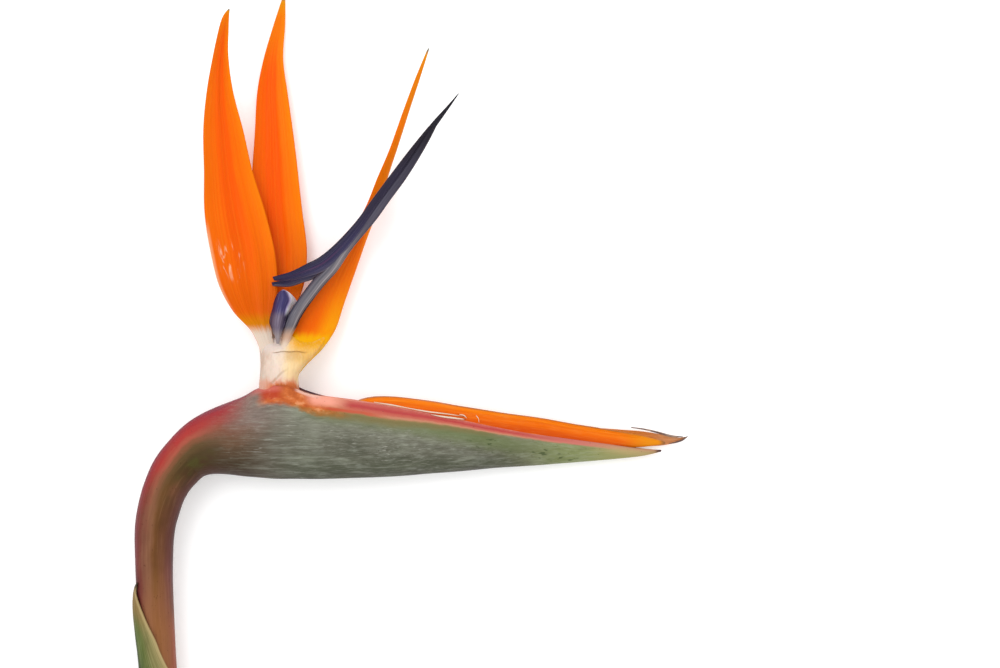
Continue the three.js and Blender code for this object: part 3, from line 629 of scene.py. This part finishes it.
def orange_material(name, stops, base, base_from, base_to, turning="e08614", golden=False, near_with_painted_highlights=False):
    """A sepal's orange flesh: bands across it, a pale base, fine lengthwise veins, a dry point."""
    paint = Paint(name, 0.34, 0.06, Subsurface_Weight=0.08, Subsurface_Scale=0.0015)
    share, u, v = paint.map("share")
    place, x, y, _ = paint.table_place()
    veins = share.noise((26, 1.6, 1), 3, 0.55)
    fine = share.noise((90, 5, 1), 3, 0.6)
    color = (u + (place.noise((0.1, 0.035, 0.1)) - 0.5) * 0.22).ramp(stops)
    color = color.over((y.fade(66, 34) * 0.8, "f66e04"))
    if near_with_painted_highlights:
        color = color.over((y.fade(42, 28) * 0.7, "e46400"))
    grown = y.fade(20, 44)
    color = color.streaks(veins, grown * 0.15, "e04a00", "ffa030").streaks(
        fine, grown * 0.08, "c04000", "ffb050")
    if golden:
        color = color.over(
            (y.fade(54, 74) * 0.75, "f9860c"), (y.fade(92, 108) * 0.6, "cf7c12"),
            (y.fade(42, 17) * u.fade(0.13, 0.35), "fda404"))
    wander = y + (veins - 0.5) * 3.5
    color = color.over((wander.fade(base_to + 5, base_to), turning))
    if golden:
        color = color.over((wander.fade(20, 17), "fab20c"))
    color = color.over((wander.fade(base_to, base_from), base))
    if not near_with_painted_highlights:
        color = color.over((y.fade(22, 20) * x.window(-6, -4, 1.6, 3), "dccabc"))
    color = color.over((u.fade(0.02, 0.004).maximum(u.fade(0.98, 0.996)) * 0.5, "d8690e"))
    if near_with_painted_highlights:
        # painted highlights: peach along the left margin and pale peach streaks lower down, standing in for
        # the shine of the crumpled surface
        painted_glint = share.noise((13, 21, 1), 3, 0.6, 0.8).fade(0.52, 0.66) * y.window(36, 41, 48, 53)
        color = color.over(
            (u.fade(0.055, 0.01) * y.window(24, 34, 52, 60) * 0.75, "f6b488"),
            (painted_glint * u.window(0.06, 0.14, 0.36, 0.52) * 0.85, "fdc09a"))
    color = color.over(
        (v.fade(0.8, 0.93) * 0.6, "f78c0a"), (v.fade(0.93, 0.985), "ee9a10"),
        (v.fade(0.974, 0.992), "8a8270"))
    return paint.finish(color, (veins, 0.0005, 0.45), (fine, 0.00012, 0.35))


def arrow_material():
    """Blue-violet flesh: navy along the upper edge, grey-blue and striated along the lower one."""
    paint = Paint("blue_flesh", 0.4)
    share, u, v = paint.map("share")
    fibre = share.noise((24, 1.4, 1), 4, 0.6)
    light = share.noise((60, 2.2, 1), 3, 0.6).fade(0.6, 0.7) * u.window(0.35, 0.55, 0.8, 0.95)
    color = u.ramp("0 1e1a2e, 20 282340, 50 302c4e, 72 3b3759, 88 55526c, 100 7c7482")
    color = color.streaks(fibre, 0.32, "15131f", "8c8798")
    color = color.streaks(share.noise((90, 6, 1), 3, 0.6), 0.18, "14121e", "a8a2b0").over(
        (u.window(0.4, 0.47, 0.5, 0.57) * v.window(0.04, 0.12, 0.32, 0.45) * 0.22, "7a3a60"),
        (v.fade(0.3, 0.1) * 0.6, "2e2946"), (v.fade(0.4, 0.62) * 0.8, "2d2838"),
        (v.fade(0.7, 0.9) * 0.85, "241f27"), (light * 0.5, "85768c"))
    return paint.finish(color, (fibre, 0.0003, 0.6))


def shaft_material():
    paint = Paint("grey_blue_flesh", 0.42)
    share, u, _ = paint.map("share")
    y = paint.table_place()[2]
    fibre = share.noise((30, 3, 1), 4, 0.6)
    fading = y + fibre * 3
    # the dark brown stops a quarter of the way round are painted shade: a dark line along the right edge,
    # where the shaft meets the folded sepal
    color = u.ramp(
        "0 2c2a36, 25 251d20, 33.5 3a3034, 37 6e666a, 42 837d81, 50 6f6c74, 60 64616c, 67 464454,"
        "73 2a283c, 100 2c2a3a")
    color = color.streaks(fibre, 0.55, "2a2834", "c0b8ba").over(
        (y.fade(44, 58) * 0.75, "454257"), (y.fade(60, 80) * 0.7, "35313f"),
        (y.fade(76, 88) * 0.85, "26222a"),
        (fading.fade(23.5, 19), "cda78e"), (fading.fade(19.5, 16), "ecd6c2"))
    return paint.finish(color, (fibre, 0.0003, 0.6))


def style_material():
    paint = Paint("dark_style", 0.5)
    share, u, _ = paint.map("share")
    fibre = share.noise((8, 12, 1), 3, 0.6)
    color = u.ramp("0 232129, 100 232129").streaks(fibre, 0.35, "101014", "55525c")
    return paint.finish(color, (fibre, 0.0001, 0.5))


def hood_material():
    """Violet-navy left facet, a whitish right facet that is a painted highlight, and a whitish top rim."""
    paint = Paint("violet_flesh", 0.38)
    share, u, _ = paint.map("share")
    y = paint.table_place()[2]
    fibre = share.noise((14, 1.4, 1), 3, 0.6)
    # the white stops on the right facet are a painted highlight
    color = u.ramp(
        "0 241a30, 10 3a2f50, 30 443c68, 50 433e6c, 66 504a78, 72 c4b8e2, 80 ffffff, 100 f4ecfc",
        "LINEAR")
    low = u.ramp("0 2e2234, 20 5c5062, 50 74687a, 80 453c52, 100 30283c", "LINEAR")
    color = color.over(
        (y.fade(27.6, 24.6), low), (y.fade(21.5, 17.5) * 0.75, "a89c9a"), (y.fade(33.9, 34.5), "b9aed0"))
    return paint.finish(color.streaks(fibre, 0.25, "221a33", "cfc6dc"), (fibre, 0.0003, 0.5))


def bud_material():
    paint = Paint("orange_bud", 0.32, 0.08)
    rim, height, x = paint.map("rim")
    veins = rim.noise((1.4, 0.04, 1), 3, 0.6)
    color = (height * 0.14).ramp("0 dc760c, 12 f98206, 36 f27002, 70 dc5802, 100 c44606")
    color = color.streaks(veins, 0.25, "cf4604", "ffa440")
    color = color.streaks(rim.noise((5, 0.16, 1), 3, 0.6), 0.14, "b84a08", "ffc070").over(
        (height.fade(0.5, 0.1) * 0.6, "8a5a30"), (x.fade(118, 131), "ee9226"),
        (x.fade(132.5, 135), "9a6a44"), (x.fade(31, 24), "e0905e"))
    return paint.finish(color, (veins, 0.0004, 0.5))


def dry_material(name, dark, pale, roughness=0.6, fresh=None):
    paint = Paint(name, roughness)
    share, _, v = paint.map("share")
    fibre = share.noise((16, 3, 1), 4, 0.65)
    color = fibre.ramp(f"30 {dark}, 50 {pale}, 70 {pale}", "LINEAR")
    color = color.streaks(paint.table_place()[0].noise((0.3, 0.5, 0.3)), 0.35, dark, "e9d2b8")
    if fresh:
        color = color.over((v.fade(0.74, 0.5) * 0.75, fresh))
    return paint.finish(color.over((v.fade(0.86, 0.99), "4a3430")), (fibre, 0.0003, 0.6))


# Stalk

STALK_SIDES = 88
STALK_STEPS = 240
STALK_ENDS = 226  # the station where the stalk ends, inside the spathe's foot,
SHOULDER_STARTS = 214  # and the station where that foot starts round it
CUT_RINGS = 15


def arc_lengths(rows, steps):
    """The length in millimetres from the cut end to each station of the stalk."""
    points = [Vector(smooth(rows, t)[:3]) for t in stations(steps)]
    total = [0.0]
    for before, here in zip(points, points[1:]):
        total.append(total[-1] + (here - before).length)
    return total


LENGTHS = arc_lengths(STALK, STALK_STEPS)


def stalk_relief(length, u):
    turn = tau * u
    ridges = 0.035 * sin(9 * turn + 0.02 * length) + 0.02 * sin(23 * turn)
    return ridges + 0.12 * rough_at(cos(turn), sin(turn), length * 0.045)


def build_stalk():
    shape = Shape()
    shares = stations(STALK_SIDES)
    grid, maps = [], []
    for j, length in enumerate(LENGTHS[:STALK_ENDS + 1]):
        row = smooth(STALK, j / STALK_STEPS)
        edge = -0.35 * max(0.0, 1 - length / 0.7) ** 2
        fade = 1 - step(LENGTHS[SHOULDER_STARTS] - 12, LENGTHS[SHOULDER_STARTS], length)
        grid.append([ring_at(row, tau * u, stalk_relief(length, u) * fade + edge) for u in shares[:-1]])
        maps.append([(u, length) for u in shares])
    shape.sheet(grid, maps, wrap=True, caps=[-1])

    # The cut face: rings from its edge inwards, slightly domed
    edge_ring = grid[0]
    middle = sum(edge_ring, Vector()) / STALK_SIDES
    heading = radians(STALK[0][3])
    outward = -Vector((cos(heading), sin(heading), 0))
    grid, maps = [], []
    for k in range(CUT_RINGS):
        f = 1 - k / (CUT_RINGS - 0.5)
        dome = 0.25 * (1 - f) - 0.1 * bump_at(f, 0.93, 0.04)
        ring = []
        for p in edge_ring:
            rough = 0.09 * noise.noise(Vector((p.x, p.z, 3.0)) * 0.9 * f + Vector((f * 4, 0, 0)))
            ring.append(middle + (p - middle) * f + outward * (dome + rough * (1 - f)))
        grid.append(ring)
        maps.append([(u, f) for u in shares])
    shape.sheet(grid, maps, wrap=True, slot=1, caps=[-1])
    shape.finish("stalk", [stalk_material(), pith_material()], "stalk_skin", ["peduncle"])


def build_sheath():
    along_y = [(y, x, z, in_plane, across) for x, y, z, _, in_plane, across in STALK[:7]]
    spans = 64
    shape = Shape()
    grid, share, rim = [], [], []
    for t in stations(150):
        y, wrap, stand = smooth(SHEATH, t)
        _, x, z, in_plane, across = row_at(along_y, y)
        loose = step(-71, -80, y)
        faces = []
        for face in (1, 0):
            row, pairs, edges = [], [], []
            for i in range(spans + 1):
                s = 2 * i / spans - 1
                angle = radians(12 + 22 * step(-72, -67.5, y) + wrap * s)
                edge = (1 - abs(s)) * radians(wrap) * (in_plane + 1)
                thick = 0.25 + 0.4 * step(0, 5, edge)
                lean = 0.25 * bump_at(edge, 0, 1.5) * (1 + sin(y * 0.35)) * loose
                vein = 0.05 * sin(angle * 40) * step(0, 2, edge) * face
                gap = 0.05 + 0.1 * loose
                out = gap + stand * cos(radians(wrap) * s) ** 2 + thick * face + lean + vein
                row.append(Vector((
                    x - (in_plane + out) * cos(angle), y, z + (across + out) * sin(angle))))
                pairs.append((i / spans, y))
                edges.append((edge, y))
            faces.append(row)
        grid.append(faces[0] + faces[1][::-1])
        share.append(pairs + pairs[::-1] + pairs[:1])
        rim.append(edges + edges[::-1] + edges[:1])
    shape.sheet(grid, share, rim=rim, wrap=True)
    shape.finish("sheath", [sheath_material()], "sheath_skin", ["stem_sheath"])


# Spathe

MOUTH_STARTS = -9.0
ARC = 84  # spans round a ring, from lip to lip
TOP = 0.75  # the share of a turn at which the stalk's rings have their outer side
SKIN, HOLLOW = 0.03, -1.5  # outer and inner face of the spathe's foot, from the stalk's surface
FOOT_X = -36.0
SHOULDER_ENDS = -19.5
SHOULDER_RINGS = 14
SPATHE_RINGS = 250
LIP_POINTS = 5
SEAM = LENGTHS[-1] + 25.2  # length along the stalk and spathe where x is 0


def spathe_oval(x):
    _, keel, margin, half, mouth, wall, z = row_at(SPATHE, x)
    mouth = max(mouth, 0.0) * step(MOUTH_STARTS - 1, MOUTH_STARTS + 9, x)
    lip = sqrt(max(0.0, 1 - (mouth / half) ** 2))
    sharpness = 0.05 * step(SPATHE[0][0], 10, x)
    height = (margin - keel) / (1 + sharpness + lip)
    y = keel + (1 + sharpness) * height
    return y, z, height, half, mouth, wall, sharpness


def spathe_relief(x, turn, mouth_angle):
    """Faint lengthwise ribs, uneven swellings, and a roll along the margin."""
    ribs = 0.05 * sin(26 * turn + 0.01 * x) + 0.04 * sin(11 * turn - 0.02 * x)
    swell = 0.22 * rough_at(x * 0.06, cos(turn) * 1.1, sin(turn) * 1.1)
    from_lip = min(turn, tau - turn) - mouth_angle
    return (ribs + swell) * step(-20, -8, x) * (0.3 + 0.7 * step(0, 0.5, from_lip))


def stalk_ring(j, out):
    row = smooth(STALK, j / STALK_STEPS)
    return [ring_at(row, tau * ((TOP - i / ARC) % 1.0), out) for i in range(ARC + 1)]


def stalk_map(length):
    return [(TOP - i / ARC, length) for i in range(ARC + 1)]


def below_top(i):
    """A stand-in for the depth below the margin, which the stalk doesn't have."""
    return 9.0 - 9 * cos(tau * i / ARC)


def spathe_ring(x):
    """The outer points of the spathe at a station, the inner ones, and their two coordinate rows."""
    y, z, height, half, mouth, wall, sharpness = spathe_oval(x)
    start = asin(min(mouth / half, 0.99))
    raised = 0.5 * step(1, 6, x) * step(17, 10, x)
    outer, inner, share, rim = [], [], [], []
    for i in range(ARC + 1):
        turn = start + (tau - 2 * start) * i / ARC
        up, sideways = cos(turn), sin(turn)
        drop = sharpness * height * max(0.0, -up) ** 6
        out = spathe_relief(x, turn, start)
        far = raised * step(tau - start - 0.6, tau - start, turn)
        outer.append(Vector((x, y + (height + out) * up - drop + far, z + (half + out) * sideways)))
        share.append((TOP - turn / tau, SEAM + x))
        rim.append((y + height * cos(start) - outer[-1].y + far, x))
        from_lip = min(turn - start, tau - start - turn)
        thick = min(wall, 0.45 + (wall - 0.45) * step(0, 0.7, from_lip), 0.8 * half, 0.8 * height)
        inner.append(Vector((x, y + (height - thick) * up - drop * 0.6 + far, z + (half - thick) * sideways)))
    return outer, inner, share, rim


def between_rings(a, slope_a, b, slope_b, f):
    """The ring at f between ring a and ring b, which leaves and meets them with their slopes."""
    return [
        p * (2 * f ** 3 - 3 * f ** 2 + 1) + sp * (f ** 3 - 2 * f ** 2 + f)
        + q * (3 * f ** 2 - 2 * f ** 3) + sq * (f ** 3 - f ** 2)
        for p, sp, q, sq in zip(a, slope_a, b, slope_b)
    ]


def build_spathe():
    shape = Shape()
    outer, inner, share, rim = [], [], [], []
    last = STALK_ENDS - 4
    for j in range(SHOULDER_STARTS, last + 1, 2):
        outer.append(stalk_ring(j, SKIN))
        inner.append(stalk_ring(j, HOLLOW))
        share.append(stalk_map(LENGTHS[j]))
        rim.append([(below_top(i), FOOT_X) for i in range(ARC + 1)])

    # The shoulder, where the round stalk widens into the boat
    first_ring, next_ring = spathe_ring(SHOULDER_ENDS), spathe_ring(SHOULDER_ENDS + 1)
    span = SEAM + SHOULDER_ENDS - LENGTHS[last]
    stretch = span / (LENGTHS[last] - LENGTHS[last - 2])
    for rows, out, first, following in (
        (outer, SKIN, first_ring[0], next_ring[0]), (inner, HOLLOW, first_ring[1], next_ring[1]),
    ):
        a = stalk_ring(last, out)
        slope_a = [(p - q) * stretch for p, q in zip(a, stalk_ring(last - 2, out))]
        slope_b = [(q - p) * span for p, q in zip(first, following)]
        for f in stations(SHOULDER_RINGS)[1:-1]:
            rows.append(between_rings(a, slope_a, first, slope_b, f))
    for f in stations(SHOULDER_RINGS)[1:-1]:
        share.append(stalk_map(LENGTHS[last] + span * f))
        rim.append([
            (below_top(i) * (1 - f) + first_ring[3][i][0] * f, FOOT_X + (SHOULDER_ENDS - FOOT_X) * f)
            for i in range(ARC + 1)])
    for k in range(SPATHE_RINGS + 1):
        ring = spathe_ring(SHOULDER_ENDS + (SPATHE[-1][0] - SHOULDER_ENDS) * k / SPATHE_RINGS)
        for rows, row in zip((outer, inner, share, rim), ring):
            rows.append(row)
    shape.sheet(outer, share, rim=rim)
    shape.sheet(inner, share, rim=rim, slot=1)

    # The rounded lips join the outer to the inner face, and the two ends are closed the same way
    for side, beside in ((0, 1), (-1, -2)):
        lips, lips_share, lips_rim = [], [], []
        for a, b, pair, edge in zip(outer, inner, share, rim):
            across = b[side] - a[side]
            away = a[side] - a[beside]
            away = away - across * (away.dot(across) / max(across.length_squared, 1e-9))
            away = away.normalized() * across.length * 0.5
            lips.append([
                a[side] + across * (1 - cos(pi * f)) / 2 + away * sin(pi * f)
                for f in stations(LIP_POINTS)])
            lips_share.append([pair[side]] * (LIP_POINTS + 1))
            lips_rim.append([(0.0, edge[side][1])] * (LIP_POINTS + 1))
        shape.sheet(lips, lips_share, rim=lips_rim)
    for end in (0, -1):
        shape.sheet([outer[end], inner[end]], [share[end]] * 2, rim=[rim[end]] * 2)
    shape.finish("boat_bract", [spathe_material(), inside_material()], "spathe_skin", ["spathe"], sharp=60)


# Closed buds and their membranes


def bud_relief(x, share):
    """Overlapping folds of the sepals inside: share is 0 at the top, 0.5 at the bottom."""
    near = min(share, 1 - share)
    side = 1 if share < 0.5 else -1
    groove = -0.42 * bump_at(near, 0.075 + 0.02 * sin(x * 0.05) + 0.03 * side, 0.012)
    second = -0.3 * bump_at(near, 0.165 + 0.03 * sin(x * 0.04 + side), 0.014)
    swell = 0.22 * rough_at(x * 0.05, share * 8, 2.0)
    return (groove + second + swell) * step(16, 34, x) * step(135, 118, x)


def build_buds():
    shape = Shape()
    sides = 96
    for rows, steps, is_ridge in ((BUD_BELLY, 70, False), (BUD_RIDGE, 200, True)):
        grid, share, rim = [], [], []
        for t in stations(steps):
            if is_ridge:
                x, top, bottom, half = smooth(rows, t)
                y, height, shift = (top + bottom) / 2, (top - bottom) / 2, 0.1
            else:
                x, y, height, half = smooth(rows, t)
                shift, top = 0.0, y + height
            z = row_at(SPATHE, x)[6] + shift
            ring = []
            for i in range(sides + 1):
                turn = tau * i / sides
                out = bud_relief(x, i / sides) if is_ridge else 0.0
                ring.append(Vector((
                    x, y + (height + out) * cos(turn), z + (half + out) * sin(turn))))
            grid.append(ring[:-1])
            share.append([(s, t) for s in stations(sides)])
            rim.append([(top - point.y, x) for point in ring])
        shape.sheet(grid, share, rim=rim, wrap=True)
    shape.finish("bud_ridge", [bud_material()], "orange_bud", ["closed_buds"])


def build_bracteole():
    def crinkle(t, s):
        return 0.25 * rough_at(t * 12, s * 2.5, 0) * (0.4 + 0.6 * abs(s))

    shape = Shape()
    blade(shape, edged(BRACTEOLE, -0.3), 0.5, 90, 20, 0.3, relief=crinkle, point=0.97)
    pink = dry_material("dry_pink", "b06438", "e09a66", fresh="e2842e")
    shape.finish("dry_bract", [pink], "dry_membrane", ["bracteole"])


def build_membranes():
    """Torn pale edges of the inner bracts, thin curling strips on the near side of the bud ridge."""
    shape = Shape()
    for points, width in MEMBRANES:
        rows = []
        for x, y, z, share in points:
            half = width * share / 2
            rows.append((x, y + half, z - 0.05, x, y, z + 0.12, x, y - half, z))
        blade(shape, rows, 0.14, 60, 8, 0.6, point=0.9)
    shape.finish("membrane_edges", [dry_material("pale_membrane", "e6b98e", "f7e6d2", 0.3)], "dry_membrane")


def build_awns():
    """Thin dark points of the dried bracts past the tip."""
    shape = Shape()
    for rows in AWNS:
        tube(shape, rows, 50, 12)
    shape.finish("dry_awns", [dry_material("dry_brown", "3e302e", "7a6058")], "dry_membrane")


# Open floret


def neck_point(t, share):
    """The neck is round at its foot, and flattens above into a fan that the sepals grow from."""
    x, y, z, wide, deep = smooth(NECK, t)
    turn = tau * share
    front_or_back = copysign(1, sin(turn))
    height = abs(sin(turn)) ** (0.68 - 0.03 * step(6, 15, y)) * front_or_back
    px = x + wide * cos(turn)
    lift = (1.4 * bump_at(px, 3.4, 2.2) + 0.9 * bump_at(px, -7, 2)
            - 0.8 * bump_at(px, -2, 2) - 1.2 * bump_at(px, 11, 4))
    py = y + lift * step(11, 18, y)
    line = 12.7 + 0.12 * sin(px * 1.3) - 0.008 * (px - 4) ** 2
    crease = -0.4 * bump_at(py, line, 0.26) * step(-3.4, -1.6, px) * step(11.5, 8.5, px)
    fold = -0.12 * bump_at(px + 2.6, (py - 1.0) * 0.72 + 0.3 * sin(py), 0.7)
    fold *= step(0.5, 2.0, py) * step(10.5, 7.5, py)
    hollow = -0.5 * bump_at(px, 1.5, 3.0) * step(9, 15, py)
    swell = 0.25 * rough_at(cos(turn), sin(turn), y * 0.12)
    out = (crease + fold + hollow) * step(0.1, 0.6, sin(turn)) + swell
    return Vector((px + swell * cos(turn), py, z + deep * height + out * front_or_back))


def build_neck():
    shape = Shape()
    sides = 120
    rings = stations(170)
    grid = [[neck_point(t, i / sides) for i in range(sides)] for t in rings]
    share = [[(s, t) for s in stations(sides)] for t in rings]
    shape.sheet(grid, share, wrap=True)
    shape.finish("floret_neck", [neck_material()], "cream_flesh", ["floret_base"])


def sepal_relief(folds, wave, phase):
    """Lengthwise folds, each with its place across, width and depth, and softly waved margins."""
    def relief(t, s):
        body = step(0.14, 0.5, t) * step(0.96, 0.5, t)
        deep = sum(depth * bump_at(s, place + 0.05 * sin(3 * t + place * 5), width)
                   for place, width, depth in folds)
        edge = wave * abs(s) ** 4 * sin(tau * (4.2 * t + phase + 0.25 * s))
        return (deep + edge + 0.15 * rough_at(s * 1.6, t * 9, phase)) * body
    return relief


def build_sepals():
    near, far = (
        [(left_x, y, left_z, (left_x + right_x) / 2, y, rib_z, right_x, y, right_z)
         for y, left_x, left_z, right_x, right_z, rib_z in rows]
        for rows in (SEPAL_NEAR, SEPAL_FAR))
    folded = [(x, y, near_z, back_x, back_y, (near_z + far_z) / 2, x, y, far_z)
              for x, y, back_x, back_y, near_z, far_z in SEPAL_MEDIAN]
    for name, node, rows, margin, fold, relief, material in (
        ("broad_sepal_near", "sepal_near", near, 0.4, 2.0,
         sepal_relief(table("-0.32 0.12 0.34, 0 0.16 -0.3, 0.34 0.14 0.36, 0.7 0.1 -0.14"), 0.25, 0.1),
         orange_material(
             "orange_near", "0 f47a10, 5 fb7606, 22 fc7002, 34 fd6402, 56 fe6200, 74 fd7402,"
             "100 ff8404", "ecd8c6", 18.5, 22.5, near_with_painted_highlights=True)),
        ("broad_sepal_far", "sepal_far", far, 0.4, 2.0,
         sepal_relief(table("-0.3 0.12 0.3, 0.05 0.14 -0.3, 0.4 0.12 0.32"), 0.22, 0.6),
         orange_material(
             "orange_far", "0 f46e0a, 5 fa6c04, 22 fc6802, 36 fe6000, 58 fe6200, 76 fe7a02,"
             "100 ff8606", "f0b070", 9, 13)),
        ("folded_sepal", "sepal_median", folded, 0.45, 1.7,
         sepal_relief(table("-0.55 0.1 -0.2, 0.55 0.1 -0.2"), 0.12, 0.3),
         orange_material(
             "orange_folded", "0 ee500a, 12 fa6004, 30 ff7202, 42 ff8a06, 50 fb960a, 58 fd8a08,"
             "70 fa6a04, 100 e24a0c", "f6bc4e", 13.5, 16.5, turning="fa8808", golden=True)),
    ):
        shape = Shape()
        blade(shape, rows, 1.15, 190, 44, margin, fold=fold, relief=relief)
        shape.finish(name, [material], "orange_sepal", [node])


def build_arrow():
    shape = Shape()
    tube(shape, ARROW_SHAFT, 170, 44, slot=1,
         relief=lambda t, share: 0.06 * sin(tau * share * 11) * step(0.05, 0.2, t))
    for rows, lift in ((WING_NEAR, 0.5), (WING_FAR, -0.5)):
        blade(shape, edged(rows, lift), 1.4, 150, 22, 0.5, point=0.97,
              relief=lambda t, s: 0.05 * sin(14 * s) * step(0, 0.1, t))
    shape.finish("blue_arrow", [arrow_material(), shaft_material()], "blue_petal", ["arrow_petal"])
    style = Shape()
    tube(style, STYLE, 60, 20)
    style.finish("style_point", [style_material()], "dark_style", ["style_tip"])


def build_hood():
    shape = Shape()
    blade(shape, HOOD, 0.9, 90, 24, 0.4, fold=1.35, point=0.93,
          relief=lambda t, s: 0.1 * rough_at(t * 6, s * 2, 5))
    shape.finish("violet_hood", [hood_material()], "violet_petal", ["hood_petal"])


# Surroundings: the floor, the light and the camera

WHITE = (1.0, 1.0, 1.0, 1.0)


def build_studio():
    half, z = 3.0, -0.00004
    mesh = bpy.data.meshes.new("floor")
    corners = [(x * half, y * half, z) for x, y in ((-1, -1), (1, -1), (1, 1), (-1, 1))]
    mesh.from_pydata(corners, [], [(0, 1, 2, 3)])
    paint = Paint("pale_floor", 0.9, Emission_Color=WHITE, Emission_Strength=0.2)
    tone = paint.place().noise(3, 2).fade(0, 1, 0.9, 0.93, "LINEAR")
    mesh.materials.append(paint.finish(tone))
    floor = put_in_scene("floor", mesh)

    world = bpy.data.worlds.new("studio")
    world.use_nodes = True
    background = world.node_tree.nodes["Background"]
    background.inputs["Color"].default_value = WHITE
    background.inputs["Strength"].default_value = 1.1
    bpy.context.scene.world = world

    for name, place, size, energy in (
        ("key", Vector((-0.55, 0.55, 1.05)), 0.8, 5.0),
        ("fill", Vector((0.9, -0.5, 0.9)), 1.0, 1.0),
    ):
        lamp = bpy.data.lights.new(name, "AREA")
        lamp.shape = "DISK"
        lamp.size = size
        lamp.energy = energy
        toward = Vector((0, 0.02, 0)) - place
        put_in_scene(name, lamp, place).rotation_euler = toward.to_track_quat("-Z", "Y").to_euler()

    lens = bpy.data.cameras.new("camera")
    lens.lens = 123.43
    lens.sensor_width = 36
    lens.clip_end = 20
    bpy.context.scene.camera = put_in_scene("camera", lens, (0.03185, 0.0498, 1.21085))
    bpy.context.scene.view_settings.view_transform = "Standard"


for build in (
    build_studio, build_stalk, build_sheath, build_spathe, build_buds, build_bracteole, build_membranes,
    build_awns, build_neck, build_sepals, build_arrow, build_hood,
):
    build()
